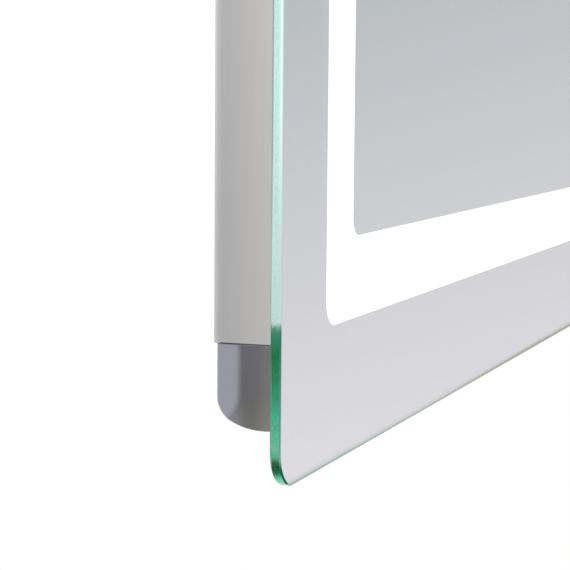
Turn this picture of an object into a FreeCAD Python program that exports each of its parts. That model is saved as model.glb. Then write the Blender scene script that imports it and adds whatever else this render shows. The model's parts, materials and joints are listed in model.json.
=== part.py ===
"""Lighted bathroom mirror: glass with a lit band, a chassis of two side channels and a sheet tray,
the light box and wiring in it, and the wall rail that it hangs on.

Millimetres. +X is to the right seen from the front, +Z is up, and the glass looks along -Y.
The wall is the plane Y = 0, and the origin is the centre of the wall rail's two screw holes.
"""
import FreeCAD, Part
import math
import os

# Glass
GLASS_W = 800.0
GLASS_H = 600.0
GLASS_T = 5.0
CORNER_R = 18.0
ARRIS = 0.8
TOP_ABOVE_RAIL = 120.0
COATING_T = 0.2
COATING_INSET = 1.0

# Lit band
BAND_MARGIN = 65.0
BAND_W = 40.0
BAND_OUTER_R = 13.0
BAND_INNER_R = 9.0

# Side channels, behind the glass
CHANNEL_INSET = 22.0
CHANNEL_W = 40.0
CHANNEL_WALL = 1.3
CHANNEL_REAR_R = 1.5
CHANNEL_END = 61.3
TAPE_T = 1.0
TAPE_INSET = 2.0
CHASSIS_D = 35.5
BUMPER_T = 2.0
BUMPER_R = 6.0
BUMPER_RIM_R = 0.6
BUMPER_UP = 38.0

# End caps: the outline's round corner is an oval, and the side slants in towards the glass
CAP_SET_IN = 1.3
CAP_SEAM = 0.6
CAP_LENGTH = 39.8
CAP_ROUND_D = 22.4
CAP_ROUND_H = 15.6
CAP_FLAT_R = 15.0
CAP_SLANT_DEG = 20.0
CAP_SLANT_BLEND = 7.0
CAP_AXIS_BEHIND = 4.2
CAP_AXIS_UP = 18.5
CAP_TURN_DEG = 100.0
CAP_EDGE_R = 0.8
CAP_WELL_INSET = 11.0
CAP_WELL_DEPTH = 26.0
PLUG_LENGTH = 22.0
PLUG_GAP = 0.2
PLUG_WALL = 2.0
CAP_SCREW_UP = 10.0
CAP_SCREW_R = 1.5
CAP_SCREW_HEAD = (2.8, 1.4)
CAP_SCREW_LENGTH = 4.2

# Tray and light box
SHEET_T = 1.0
TRAY_BACK = 22.0
TRAY_MARGIN = 55.0
TRAY_FLANGE = 12.0
TRAY_FLANGE_SHORT = 8.0
TRAY_RIVET_R = 2.0
TRAY_RIVET_D = 12.0
TRAY_RIVET_Z = (-190.0, 0.0, 190.0)
TRAY_RIVET_HEAD_H = 1.0
TRAY_RIVET_TAIL_H = 1.5
WALL_INSET = 3.0
WALL_FOOT = 8.0
WALL_LEAD_HOLE_R = 2.0
DIFFUSER_T = 2.0
DIFFUSER_GAP = 0.2
DIFFUSER_STEP = 0.5
LED_TAPE_W = 10.0
LED_TAPE_T = 0.3
LED_PITCH = 1000.0 / 60.0
LED_LONG = 3.5
LED_WIDE = 2.8
LED_HIGH = 0.8
LINK_R = 0.7

# Hanging rails
RAIL_T = 2.0
WALL_RAIL_HALF = 250.0
WALL_RAIL_FLANGE = 12.0
WALL_RAIL_LIP_TOP = 26.0
WALL_RAIL_REACH = 7.0
WALL_HOLE_X = 200.0
WALL_HOLE_R = 2.75
HANGER_HALF = 230.0
HANGER_TOP = 52.0
HANGER_LIP_BOTTOM = 14.0
HANGER_RIVET_X = [-200.0 + 80.0 * i for i in range(6)]
HANGER_RIVET_Z = 46.0
HANGER_RIVET_R = 2.0
HANGER_RIVET_HEAD = (4.0, 1.2)
HOOK_GAP_Y = 0.4
HOOK_GAP_Z = 0.3

# Terminal box
BOX_HALF_W = 45.0
BOX_HALF_H = 25.0
BOX_Z = -220.0
BOX_FRONT = 8.0
BOX_WALL = 1.5
BOX_FLANGE = 8.0
BOX_FLANGE_R = 3.0
BOX_GAP = 0.3
BOX_SCREW_R = 1.25
BOX_SCREW_HEAD = (2.5, 1.5)
BOX_SCREW_LENGTH = 5.0
BOX_SCREWS = [(sx * (BOX_HALF_W + 4.0), BOX_Z + sz * 15.0) for sx in (-1, 1) for sz in (-1, 1)]
COVER_T = 2.0
COVER_INSET = 1.0
COVER_R = 2.5
GROMMET_X = -26.0
GROMMET_BORE_R = 4.0
GROMMET_NECK_R = 6.4
GROMMET_FLANGE_R = 8.5
GROMMET_FLANGE_T = 2.0
BLOCK_X = (-6.0, 36.0)
BLOCK_HALF_H = 9.0
BLOCK_BASE_T = 3.0
POLES = 3
POLE_PITCH = 14.0
POLE_HALF_W = 5.0
POLE_TOP = 11.0
WIRE_HOLE_R = 1.9
WIRE_HOLE_UP = 5.0
TERMINAL_SCREW_R = 1.5
TERMINAL_SCREW_LENGTH = 3.5
TERMINAL_SCREW_UP = 6.5
TERMINAL_SCREW_Z = 5.0
TERMINAL_SLOT = (0.25, 0.6)
CLAMP_X = (GROMMET_X - 15.0, GROMMET_X + 15.0)
CLAMP_Z = BOX_Z - 16.0
CLAMP_HALF_H = 4.0
CLAMP_T = 2.0
CLAMP_POST_R = 3.0
CLAMP_POST_H = 3.0
CLAMP_SCREW_X = (CLAMP_X[0] + 4.0, CLAMP_X[1] - 4.0)
CLAMP_SCREW_R = 1.2
CLAMP_SCREW_HEAD = (2.6, 1.6)
CLAMP_SCREW_LENGTH = 4.8

# Driver: a case in two halves; the board's parts are measured from the case's left end and middle
DRIVER_X = (75.0, 235.0)
DRIVER_HALF_H = 30.0
DRIVER_FRONT = 5.0
DRIVER_SPLIT = 6.0
DRIVER_WALL = 1.5
DRIVER_EAR = 8.0
DRIVER_EAR_T = 2.0
DRIVER_EAR_HALF_H = 5.0
DRIVER_SCREW_R = 1.75
DRIVER_SCREW_HEAD = (3.2, 1.8)
DRIVER_SCREW_LENGTH = 3.2
DRIVER_SCREWS = [(x, BOX_Z + side * (DRIVER_HALF_H - 8.0)) for side in (-1, 1)
                 for x in (DRIVER_X[0] - DRIVER_EAR / 2, DRIVER_X[1] + DRIVER_EAR / 2)]
POST_IN = 12.0
POST_R = 3.0
POST_H = 3.0
LIP_W = 0.7
LIP_H = 2.0
LIP_GAP = 0.1
BOARD_T = 1.6
BOARD_IN = 4.0
COIL = ((58.0, 82.0), 12.0, 8.0)
BOBBIN = ((62.0, 78.0), 7.0, 8.8)
CHIP = ((96.0, 106.0), (-14.0, -6.0), 1.5)
CAN_R = 5.0
CAN_H = 8.0
CANS = ((24.0, -14.0), (24.0, 14.0), (128.0, 12.0))
SMALL_PARTS = (42.0, 4.0, 4, 2.0, (18.0, 22.0), 1.0)

# Wiring and earth
LEAD_DEPTH = 14.0
LEAD_GAP = 0.1
SUPPLY_LEAD_R = 2.0
LED_LEAD_R = 1.3
EARTH_LEAD_R = 1.2
LED_LEAD_TURN_X = 300.0
LED_LEAD_BEND = 3.0
EARTH_LEAD_BEND = 4.0
EARTH_LEAD_RUN = (6.0, 14.0, 20.0)
CLIP_X = (254.0, 276.0)
CLIP_HALF_W = 4.0
CLIP_HALF_H = 3.5
CLIP_COVER = 3.0
EARTH_X = -75.0
STUD_R = 2.0
STUD_LENGTH = 10.0
STUD_HEAD = (4.0, 1.2)
NUT_ACROSS = 7.0
NUT_T = 3.2
NUT_UP = 2.0
RING_R = 4.0
RING_T = 0.8
RING_TAG = (9.0, 2.0)

# Screws and rivets in general
HOLE_GAP = 0.05
RECESS = (0.22, 0.6, 0.55)
SET_END = 1.4
REACH_PAST = 1.0

# Worked out from the above
HALF_W = GLASS_W / 2
HALF_H = GLASS_H / 2
CENTRE_Z = TOP_ABOVE_RAIL - HALF_H
GLASS_BACK_Y = -(BUMPER_T + CHASSIS_D)
CHASSIS_FRONT = COATING_T + TAPE_T
CHANNEL_X = (HALF_W - CHANNEL_INSET - CHANNEL_W, HALF_W - CHANNEL_INSET)
CHANNEL_HALF = HALF_H - CHANNEL_END
CHANNEL_LOW = CENTRE_Z - CHANNEL_HALF
CAP_SCREW_X = (CHANNEL_X[0] + CHANNEL_X[1]) / 2
CAP_SCREW_Z = CHANNEL_LOW + CAP_SCREW_UP
CAP_REAR_Y = GLASS_BACK_Y + CHASSIS_D - CAP_SET_IN
CAP_TOP_Z = CHANNEL_LOW - CAP_SEAM
CAP_BOTTOM_Z = CAP_TOP_Z - CAP_LENGTH
TRAY_HALF_W = CHANNEL_X[0] - 0.1
TRAY_HALF_H = HALF_H - TRAY_MARGIN
TRAY_REAR = TRAY_BACK + SHEET_T
WALL_HALF_W = HALF_W - BAND_MARGIN - BAND_W - WALL_INSET
WALL_HALF_H = HALF_H - BAND_MARGIN - BAND_W - WALL_INSET
BAND_MID_W = HALF_W - BAND_MARGIN - BAND_W / 2
BAND_MID_H = HALF_H - BAND_MARGIN - BAND_W / 2
DIFFUSER_BACK = COATING_T + DIFFUSER_T
BOX_FACE = TRAY_REAR + BOX_WALL
BOX_FLOOR = BOX_FRONT + BOX_WALL
BOARD_BACK = TRAY_BACK - DRIVER_WALL - POST_H
BOARD_FRONT = BOARD_BACK - BOARD_T

Vector = FreeCAD.Vector
ALONG = {"x": Vector(1, 0, 0), "y": Vector(0, 1, 0), "z": Vector(0, 0, 1)}


def depth(distance):
    """Y of a place that far behind the back of the glass."""
    return GLASS_BACK_Y + distance


def block(x_range, depth_range, z_range):
    """Box from X limits, limits behind the glass and Z limits."""
    low = Vector(min(x_range), depth(min(depth_range)), min(z_range))
    size = [abs(pair[1] - pair[0]) for pair in (x_range, depth_range, z_range)]
    return Part.makeBox(*size, low)


def rod(start, direction, radius, length):
    """Cylinder from a point given as (x, depth behind the glass, z)."""
    return Part.makeCylinder(radius, length, Vector(start[0], depth(start[1]), start[2]), ALONG[direction])


def edges_along(shape, direction, keep=lambda middle: True):
    """The straight edges that run along one axis and whose middles pass the test."""
    found = []
    for edge in shape.Edges:
        middle = edge.valueAt((edge.FirstParameter + edge.LastParameter) / 2)
        tangent = edge.tangentAt(edge.FirstParameter)
        if abs(tangent.dot(ALONG[direction])) > 0.999 and keep(middle):
            found.append(edge)
    return found


def plate(half_w, half_h, radius, depth_range):
    """Upright plate with rounded corners, centred on the glass."""
    shape = block((-half_w, half_w), depth_range, (CENTRE_Z - half_h, CENTRE_Z + half_h))
    return shape.makeFillet(radius, edges_along(shape, "y"))


def flipped(shape, direction):
    """The shape's mirror image across the glass's middle, left to right or top to bottom."""
    return shape.mirror(Vector(0, 0, CENTRE_Z), ALONG[direction])


def both_sides(shape):
    """A shape on the right and its twin on the left."""
    return [shape, flipped(shape, "x")]


def four_corners(shape):
    """A shape and its twins in the four quarters."""
    pair = both_sides(shape)
    return pair + [flipped(one, "z") for one in pair]


def tube_path(points, bend_r, radius):
    """Round lead through points (x, depth, z), with its corners rounded."""
    spots = [Vector(x, depth(d), z) for x, d, z in points]
    edges = []
    start = spots[0]
    for before, corner, after in zip(spots, spots[1:], spots[2:]):
        inward = (before - corner).normalize()
        outward = (after - corner).normalize()
        half_turn = (math.pi - inward.getAngle(outward)) / 2
        reach = bend_r * math.tan(half_turn)
        first = corner + inward * reach
        last = corner + outward * reach
        bisector = (inward + outward).normalize()
        centre = corner + bisector * (bend_r / math.cos(half_turn))
        middle = centre - bisector * bend_r
        edges.append(Part.LineSegment(start, first).toShape())
        edges.append(Part.Arc(first, middle, last).toShape())
        start = last
    edges.append(Part.LineSegment(start, spots[-1]).toShape())
    path = Part.Wire(edges)
    section = Part.Wire(Part.makeCircle(radius, spots[0], spots[1] - spots[0]))
    return path.makePipeShell([section], True, False)


def screw(seat, direction, head, shank_r, shank_length):
    """Pan-head screw with a cross recess. Its head's underside is at the given point, and the shank
    runs along the direction's sign: 1 towards the wall, -1 towards the glass."""
    x, d, z = seat
    head_r, head_h = head
    back = -direction
    shank_start = d if direction > 0 else d - shank_length
    head_start = d - head_h if direction > 0 else d
    shape = rod((x, head_start, z), "y", head_r, head_h)
    shape = shape.fuse(rod((x, shank_start, z), "y", shank_r, shank_length))
    top = d + back * head_h
    slot_share, reach_share, deep_share = RECESS
    recess = sorted((top, top - back * head_h * deep_share))
    slot = slot_share * head_r
    reach = reach_share * head_r
    shape = shape.cut(block((x - slot, x + slot), recess, (z - reach, z + reach)))
    return shape.cut(block((x - reach, x + reach), recess, (z - slot, z + slot)))


def rivet(front, back, x, z, shank_r, head):
    """Blind rivet through sheets between two depths, with a head behind and a set end in front."""
    head_r, head_h = head
    shape = rod((x, front - head_h, z), "y", shank_r, back - front + 2 * head_h)
    shape = shape.fuse(rod((x, back, z), "y", head_r, head_h))
    return shape.fuse(rod((x, front - head_h, z), "y", shank_r * SET_END, head_h))


def save(name, shapes):
    """Write one node: a solid, or a group of separate solids."""
    solids = [solid for shape in shapes for solid in shape.Solids]
    whole = solids[0] if len(solids) == 1 else Part.makeCompound(solids)
    if not whole.isValid():
        raise ValueError(name + " isn't a valid shape")
    whole.exportStep("parts/" + name + ".step")
    print(name, len(solids), round(whole.Volume / 1000, 2), "cm3")


def glass_and_coating():
    glass = plate(HALF_W, HALF_H, CORNER_R, (-GLASS_T, 0))
    rims = [edge for edge in glass.Edges if abs(edge.BoundBox.YLength) < 0.01]
    save("mirror_glass", [glass.makeChamfer(ARRIS, rims)])
    skin = (0, COATING_T)
    inner_margin = BAND_MARGIN + BAND_W
    outline = plate(HALF_W - COATING_INSET, HALF_H - COATING_INSET, CORNER_R - COATING_INSET, skin)
    band = plate(HALF_W - BAND_MARGIN, HALF_H - BAND_MARGIN, BAND_OUTER_R, skin)
    centre = plate(HALF_W - inner_margin, HALF_H - inner_margin, BAND_INNER_R, skin)
    save("silver_coating_outer", [outline.cut(band)])
    save("frosted_light_band", [band.cut(centre)])
    save("silver_coating_centre", [centre])


def bonding_tape():
    layer = (COATING_T, CHASSIS_FRONT)
    length = CHANNEL_HALF - TAPE_INSET
    upright = block((CHANNEL_X[0] + TAPE_INSET, CHANNEL_X[1] - TAPE_INSET), layer,
                    (CENTRE_Z - length, CENTRE_Z + length))
    half_w = TRAY_HALF_W - TRAY_FLANGE_SHORT - TAPE_INSET
    tray_edge = CENTRE_Z + TRAY_HALF_H
    flange = block((-half_w, half_w), layer, (tray_edge, tray_edge + TRAY_FLANGE - SHEET_T))
    save("bonding_tape", both_sides(upright) + [flange, flipped(flange, "z")])


def side_channel():
    ends = (CHANNEL_LOW, CENTRE_Z + CHANNEL_HALF)
    outer = block(CHANNEL_X, (CHASSIS_FRONT, CHASSIS_D), ends)
    rear = depth(CHASSIS_D)
    outer = outer.makeFillet(CHANNEL_REAR_R, edges_along(outer, "z", lambda p: abs(p.y - rear) < 0.01))
    inner_x = (CHANNEL_X[0] + CHANNEL_WALL, CHANNEL_X[1] - CHANNEL_WALL)
    inner = block(inner_x, (CHASSIS_FRONT + CHANNEL_WALL, CHASSIS_D - CHANNEL_WALL), ends)
    inner_rear = depth(CHASSIS_D - CHANNEL_WALL)
    inner_r = CHANNEL_REAR_R - CHANNEL_WALL
    inner = inner.makeFillet(inner_r, edges_along(inner, "z", lambda p: abs(p.y - inner_rear) < 0.01))
    channel = outer.cut(inner)
    hole = rod((CAP_SCREW_X, CHASSIS_D - 2 * CHANNEL_WALL, CAP_SCREW_Z), "y", CAP_SCREW_R + 2 * HOLE_GAP,
               3 * CHANNEL_WALL)
    channel = channel.cut(hole).cut(flipped(hole, "z"))
    for z in TRAY_RIVET_Z:
        start = (CHANNEL_X[0] - REACH_PAST, TRAY_RIVET_D, CENTRE_Z + z)
        channel = channel.cut(rod(start, "x", TRAY_RIVET_R + HOLE_GAP, CHANNEL_WALL + 2 * REACH_PAST))
    return channel


def cap_side_form():
    """Room inside the cap's slanted side: a profile whose distance from an axis along X, at the rear,
    says how far the side has drawn in. It is swept straight above the axis and turned below it."""
    outer_x = CHANNEL_X[1] - CAP_SET_IN
    inner_x = CHANNEL_X[0] + CAP_SET_IN
    far = 2 * CAP_LENGTH
    slope = math.radians(CAP_SLANT_DEG)
    tangent = CAP_SLANT_BLEND * math.tan(slope / 2)
    half = slope / 2
    axis_y = CAP_REAR_Y + CAP_AXIS_BEHIND
    axis_z = CAP_BOTTOM_Z + CAP_AXIS_UP

    def spot(x, r):
        return Vector(x, axis_y - r, axis_z)

    blend_start = spot(outer_x, CAP_FLAT_R - tangent)
    blend_middle = spot(outer_x - CAP_SLANT_BLEND * (1 - math.cos(half)),
                        CAP_FLAT_R - tangent + CAP_SLANT_BLEND * math.sin(half))
    blend_end = spot(outer_x - tangent * math.sin(slope), CAP_FLAT_R + tangent * math.cos(slope))
    far_x = outer_x - (far - CAP_FLAT_R) * math.tan(slope)
    edges = [
        Part.LineSegment(spot(inner_x, 0), spot(outer_x, 0)).toShape(),
        Part.LineSegment(spot(outer_x, 0), blend_start).toShape(),
        Part.Arc(blend_start, blend_middle, blend_end).toShape(),
        Part.LineSegment(blend_end, spot(far_x, far)).toShape(),
        Part.LineSegment(spot(far_x, far), spot(inner_x, far)).toShape(),
        Part.LineSegment(spot(inner_x, far), spot(inner_x, 0)).toShape(),
    ]
    face = Part.Face(Part.Wire(edges))
    straight = face.extrude(Vector(0, 0, far))
    turned = face.revolve(spot(0, 0), ALONG["x"], CAP_TURN_DEG)
    return straight.fuse(turned)


def cap_outline():
    """The cap's outline in the Y-Z plane, drawn along X: straight rear, oval lower corner and flat
    underside."""
    rear = CAP_REAR_Y
    front = depth(CHASSIS_FRONT)
    x = CHANNEL_X[1]
    centre = Vector(x, rear - CAP_ROUND_D, CAP_BOTTOM_Z + CAP_ROUND_H)
    side = Vector(x, rear, centre.z)
    under = Vector(x, centre.y, CAP_BOTTOM_Z)
    oval = Part.Ellipse(side, under, centre)
    rounding = Part.ArcOfEllipse(oval, 0, math.pi / 2).toShape()
    corners = [
        under,
        Vector(x, front, CAP_BOTTOM_Z),
        Vector(x, front, CAP_TOP_Z),
        Vector(x, rear, CAP_TOP_Z),
        side,
    ]
    lines = [Part.LineSegment(a, b).toShape() for a, b in zip(corners, corners[1:])]
    face = Part.Face(Part.Wire([rounding] + lines))
    return face.extrude(Vector(-CHANNEL_W, 0, 0))


def on_cap_outline(point):
    """Whether a point of the cap lies on its rear, its oval corner or its underside."""
    near = 0.1
    across = (point.y - CAP_REAR_Y) / CAP_ROUND_D + 1
    down = (point.z - CAP_BOTTOM_Z) / CAP_ROUND_H - 1
    on_oval = abs(math.hypot(across, down) - 1) < near / CAP_ROUND_D
    return on_oval or point.y > CAP_REAR_Y - near or point.z < CAP_BOTTOM_Z + near


def cap_body():
    """The moulding below the channel, with the edge between its side and its outline rounded off."""
    body = cap_outline().common(cap_side_form())
    middle_x = CHANNEL_X[0] + CHANNEL_W / 2
    outer = []
    for edge in body.Edges:
        middle = edge.valueAt((edge.FirstParameter + edge.LastParameter) / 2)
        on_side = all(point.x > middle_x for point in [vertex.Point for vertex in edge.Vertexes] + [middle])
        behind_front = middle.y > depth(CHASSIS_FRONT) + CAP_SEAM
        below_top = middle.z < CAP_TOP_Z - CAP_SEAM
        if on_side and behind_front and below_top and on_cap_outline(middle):
            outer.append(edge)
    return body.makeFillet(CAP_EDGE_R, outer)


def end_cap():
    """The cap at the lower right: outer moulding, and a hollow plug that goes up into the channel."""
    gap = CHANNEL_WALL + PLUG_GAP
    plug_x = (CHANNEL_X[0] + gap, CHANNEL_X[1] - gap)
    plug_d = (CHASSIS_FRONT + gap, CHASSIS_D - gap)
    plug_top = CAP_TOP_Z + CAP_SEAM + PLUG_LENGTH
    plug = block(plug_x, plug_d, (CAP_TOP_Z, plug_top))
    inner_x = plug_x[0] + PLUG_WALL
    hollow = block((inner_x, plug_x[1] - PLUG_WALL), (plug_d[0] + PLUG_WALL, plug_d[1] - PLUG_WALL),
                   (CAP_TOP_Z + PLUG_WALL, plug_top))
    well = block((inner_x, CHANNEL_X[1] - CAP_WELL_INSET),
                 (plug_d[0] + PLUG_WALL, plug_d[1] - 2 * PLUG_WALL),
                 (CAP_TOP_Z - CAP_WELL_DEPTH, plug_top))
    cap = cap_body().fuse(plug).cut(hollow).cut(well)
    pilot = rod((CAP_SCREW_X, CHASSIS_D - 4 * CHANNEL_WALL, CAP_SCREW_Z), "y", CAP_SCREW_R + HOLE_GAP,
                4 * CHANNEL_WALL)
    return cap.cut(pilot)


def channels_and_caps():
    channel = side_channel()
    for name, shape in zip(("right", "left"), both_sides(channel)):
        save("side_channel_" + name, [shape])
    places = ("bottom_right", "bottom_left", "top_right", "top_left")
    for name, shape in zip(places, four_corners(end_cap())):
        save("end_cap_" + name, [shape])
    one = screw((CAP_SCREW_X, CHASSIS_D, CAP_SCREW_Z), -1, CAP_SCREW_HEAD, CAP_SCREW_R, CAP_SCREW_LENGTH)
    save("end_cap_screws", four_corners(one))


def tray():
    half_w = TRAY_HALF_W
    low = CENTRE_Z - TRAY_HALF_H
    high = CENTRE_Z + TRAY_HALF_H
    pan = block((-half_w, half_w), (DIFFUSER_BACK, TRAY_REAR), (low, high))
    inside = (low + SHEET_T, high - SHEET_T)
    pan = pan.cut(block((-half_w + SHEET_T, half_w - SHEET_T), (0, TRAY_BACK), inside))
    flange_half = half_w - TRAY_FLANGE_SHORT
    flange = block((-flange_half, flange_half), (CHASSIS_FRONT, DIFFUSER_BACK),
                   (high - SHEET_T, high + TRAY_FLANGE))
    pan = pan.fuse(flange).fuse(flipped(flange, "z"))
    through = (TRAY_BACK - REACH_PAST, TRAY_REAR + REACH_PAST)
    pan = pan.cut(block((-BOX_HALF_W - BOX_GAP, BOX_HALF_W + BOX_GAP), through,
                        (BOX_Z - BOX_HALF_H - BOX_GAP, BOX_Z + BOX_HALF_H + BOX_GAP)))
    holes = [(x, HANGER_RIVET_Z, HANGER_RIVET_R + HOLE_GAP) for x in HANGER_RIVET_X]
    holes += [(x, z, DRIVER_SCREW_R + HOLE_GAP) for x, z in DRIVER_SCREWS]
    holes += [(x, z, BOX_SCREW_R + HOLE_GAP) for x, z in BOX_SCREWS]
    for x, z, radius in holes:
        pan = pan.cut(rod((x, through[0], z), "y", radius, SHEET_T + 2 * REACH_PAST))
    for z in TRAY_RIVET_Z:
        start = (-half_w - REACH_PAST, TRAY_RIVET_D, CENTRE_Z + z)
        pan = pan.cut(rod(start, "x", TRAY_RIVET_R + HOLE_GAP, 2 * (half_w + REACH_PAST)))
    return pan.removeSplitter()


def tray_rivets():
    """Rivets from inside the tray, through its side walls and the channels'."""
    rivets = []
    inside = TRAY_HALF_W - SHEET_T
    tail_x = CHANNEL_X[0] + CHANNEL_WALL
    shank = tail_x - inside + TRAY_RIVET_HEAD_H + TRAY_RIVET_TAIL_H / 3
    for z in TRAY_RIVET_Z:
        head = (inside - TRAY_RIVET_HEAD_H, TRAY_RIVET_D, CENTRE_Z + z)
        tail = (tail_x, TRAY_RIVET_D, CENTRE_Z + z)
        one = rod(head, "x", 2 * TRAY_RIVET_R, TRAY_RIVET_HEAD_H)
        one = one.fuse(rod(head, "x", TRAY_RIVET_R, shank))
        one = one.fuse(rod(tail, "x", TRAY_RIVET_R * SET_END, TRAY_RIVET_TAIL_H))
        rivets += both_sides(one)
    save("tray_rivets", rivets)


def light_walls():
    """L-section strips round the middle of the tray: they shut the light in behind the band."""
    front = DIFFUSER_BACK
    inner = WALL_HALF_W - SHEET_T
    foot_front = TRAY_BACK - SHEET_T
    span = (CENTRE_Z - WALL_HALF_H, CENTRE_Z + WALL_HALF_H)
    side = block((inner, WALL_HALF_W), (front, TRAY_BACK), span)
    side = side.fuse(block((inner - WALL_FOOT, inner), (foot_front, TRAY_BACK), span))
    lead_hole = rod((inner - REACH_PAST, LEAD_DEPTH, BOX_Z), "x", WALL_LEAD_HOLE_R,
                    SHEET_T + 2 * REACH_PAST)
    save("light_wall_right", [side.cut(lead_hole)])
    save("light_wall_left", [flipped(side, "x")])
    foot_half = inner - WALL_FOOT - DIFFUSER_GAP
    upper = CENTRE_Z + WALL_HALF_H
    across = block((-inner, inner), (front, foot_front), (upper - SHEET_T, upper))
    across = across.fuse(block((-foot_half, foot_half), (foot_front, TRAY_BACK), (upper - WALL_FOOT, upper)))
    save("light_wall_top", [across])
    save("light_wall_bottom", [flipped(across, "z")])


def diffusers():
    layer = (COATING_T, DIFFUSER_BACK)
    seat = SHEET_T + DIFFUSER_STEP
    inner_w = WALL_HALF_W - seat
    outer_w = TRAY_HALF_W - SHEET_T - DIFFUSER_GAP
    inner_h = WALL_HALF_H - seat
    outer_h = TRAY_HALF_H - SHEET_T - DIFFUSER_GAP
    across_w = inner_w - DIFFUSER_GAP
    upright = block((inner_w, outer_w), layer, (CENTRE_Z - outer_h, CENTRE_Z + outer_h))
    across = block((-across_w, across_w), layer, (CENTRE_Z + inner_h, CENTRE_Z + outer_h))
    for name, shape in zip(("right", "left"), both_sides(upright)):
        save("diffuser_" + name, [shape])
    for name, shape in zip(("top", "bottom"), (across, flipped(across, "z"))):
        save("diffuser_" + name, [shape])


def led_chips(half_run, at):
    """Chips at the tape's pitch, centred on a run; "at" makes one from its distance along the run."""
    count = int((2 * half_run - LED_LONG) / LED_PITCH)
    return [at((i - count / 2) * LED_PITCH) for i in range(count + 1)]


def led_strips():
    on_tray = (TRAY_BACK - LED_TAPE_T, TRAY_BACK)
    on_tape = (on_tray[0] - LED_HIGH, on_tray[0])
    half_tape = LED_TAPE_W / 2
    half_long = BAND_MID_H - LED_TAPE_W
    half_wide = BAND_MID_W - LED_TAPE_W
    run_z = CENTRE_Z + BAND_MID_H

    def upright_chip(along):
        z = CENTRE_Z + along
        return block((BAND_MID_W - LED_WIDE / 2, BAND_MID_W + LED_WIDE / 2), on_tape,
                     (z - LED_LONG / 2, z + LED_LONG / 2))

    def across_chip(along):
        return block((along - LED_LONG / 2, along + LED_LONG / 2), on_tape,
                     (run_z - LED_WIDE / 2, run_z + LED_WIDE / 2))

    upright = block((BAND_MID_W - half_tape, BAND_MID_W + half_tape), on_tray,
                    (CENTRE_Z - half_long, CENTRE_Z + half_long))
    across = block((-half_wide, half_wide), on_tray, (run_z - half_tape, run_z + half_tape))
    chips_up = led_chips(half_long, upright_chip)
    chips_across = led_chips(half_wide, across_chip)
    sides = {
        "right": (upright, chips_up, None),
        "left": (upright, chips_up, "x"),
        "top": (across, chips_across, None),
        "bottom": (across, chips_across, "z"),
    }
    for name, (tape, chips, flip) in sides.items():
        if flip:
            tape = flipped(tape, flip)
            chips = [flipped(chip, flip) for chip in chips]
        save("led_tape_" + name, [tape])
        save("led_chips_" + name, chips)


def corner_links():
    """Quarter rings of wire that join the tapes at three corners."""
    turn = LED_TAPE_W
    wire_depth = TRAY_BACK - LED_TAPE_T - LINK_R
    middle = Vector(BAND_MID_W - turn, depth(wire_depth), CENTRE_Z + BAND_MID_H - turn)
    ring = Part.makeTorus(turn, LINK_R, middle, ALONG["y"])
    room = Part.makeBox(2 * turn, 4 * LINK_R, 2 * turn, middle - Vector(0, 2 * LINK_R, 0))
    quarter = ring.common(room)
    upper_left = flipped(quarter, "x")
    save("corner_links", [quarter, upper_left, flipped(upper_left, "z")])


def shrunk(x_range, z_range, amount):
    """X and Z limits drawn in by an amount on every side."""
    return (x_range[0] + amount, x_range[1] - amount), (z_range[0] + amount, z_range[1] - amount)


def frame_ring(x_range, depth_range, z_range, width):
    """Rectangular ring of a given width, between two depths."""
    inner_x, inner_z = shrunk(x_range, z_range, width)
    return block(x_range, depth_range, z_range).cut(block(inner_x, depth_range, inner_z))


def driver_case():
    """The LED power supply's case: a base with ears and posts, and a lid whose lip fits inside it."""
    span = (BOX_Z - DRIVER_HALF_H, BOX_Z + DRIVER_HALF_H)
    room_x, room_z = shrunk(DRIVER_X, span, DRIVER_WALL)
    split = DRIVER_FRONT + DRIVER_SPLIT
    base = block(DRIVER_X, (split, TRAY_BACK), span)
    base = base.cut(block(room_x, (split, TRAY_BACK - DRIVER_WALL), room_z))
    for x, z in DRIVER_SCREWS:
        ear = block((x - DRIVER_EAR / 2, x + DRIVER_EAR / 2), (TRAY_BACK - DRIVER_EAR_T, TRAY_BACK),
                    (z - DRIVER_EAR_HALF_H, z + DRIVER_EAR_HALF_H))
        hole = rod((x, TRAY_BACK - DRIVER_EAR_T - REACH_PAST, z), "y", DRIVER_SCREW_R + HOLE_GAP,
                   DRIVER_EAR_T + 2 * REACH_PAST)
        base = base.fuse(ear).cut(hole)
    post_x, post_z = shrunk(DRIVER_X, span, POST_IN)
    for x in post_x:
        for z in post_z:
            base = base.fuse(rod((x, BOARD_BACK, z), "y", POST_R, POST_H))
    lid = block(DRIVER_X, (DRIVER_FRONT, split), span)
    lid = lid.cut(block(room_x, (DRIVER_FRONT + DRIVER_WALL, split), room_z))
    lip_x, lip_z = shrunk(room_x, room_z, LIP_GAP)
    shoulder = frame_ring(room_x, (split - 1, split), room_z, LIP_W + LIP_GAP)
    lip = frame_ring(lip_x, (split, split + LIP_H), lip_z, LIP_W)
    lid = lid.fuse(shoulder).fuse(lip)
    reach = 3 * DRIVER_WALL
    lead_in = rod((DRIVER_X[0] - REACH_PAST, LEAD_DEPTH, BOX_Z), "x", SUPPLY_LEAD_R + LEAD_GAP, reach)
    lead_out = rod((DRIVER_X[1] + REACH_PAST - reach, LEAD_DEPTH, BOX_Z), "x", LED_LEAD_R + LEAD_GAP, reach)
    save("driver_case_base", [base.cut(lead_in).cut(lead_out)])
    save("driver_case_lid", [lid.cut(lead_in).cut(lead_out)])
    save("driver_screws", [screw((x, TRAY_BACK - DRIVER_EAR_T, z), 1, DRIVER_SCREW_HEAD, DRIVER_SCREW_R,
                                 DRIVER_SCREW_LENGTH) for x, z in DRIVER_SCREWS])


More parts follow.
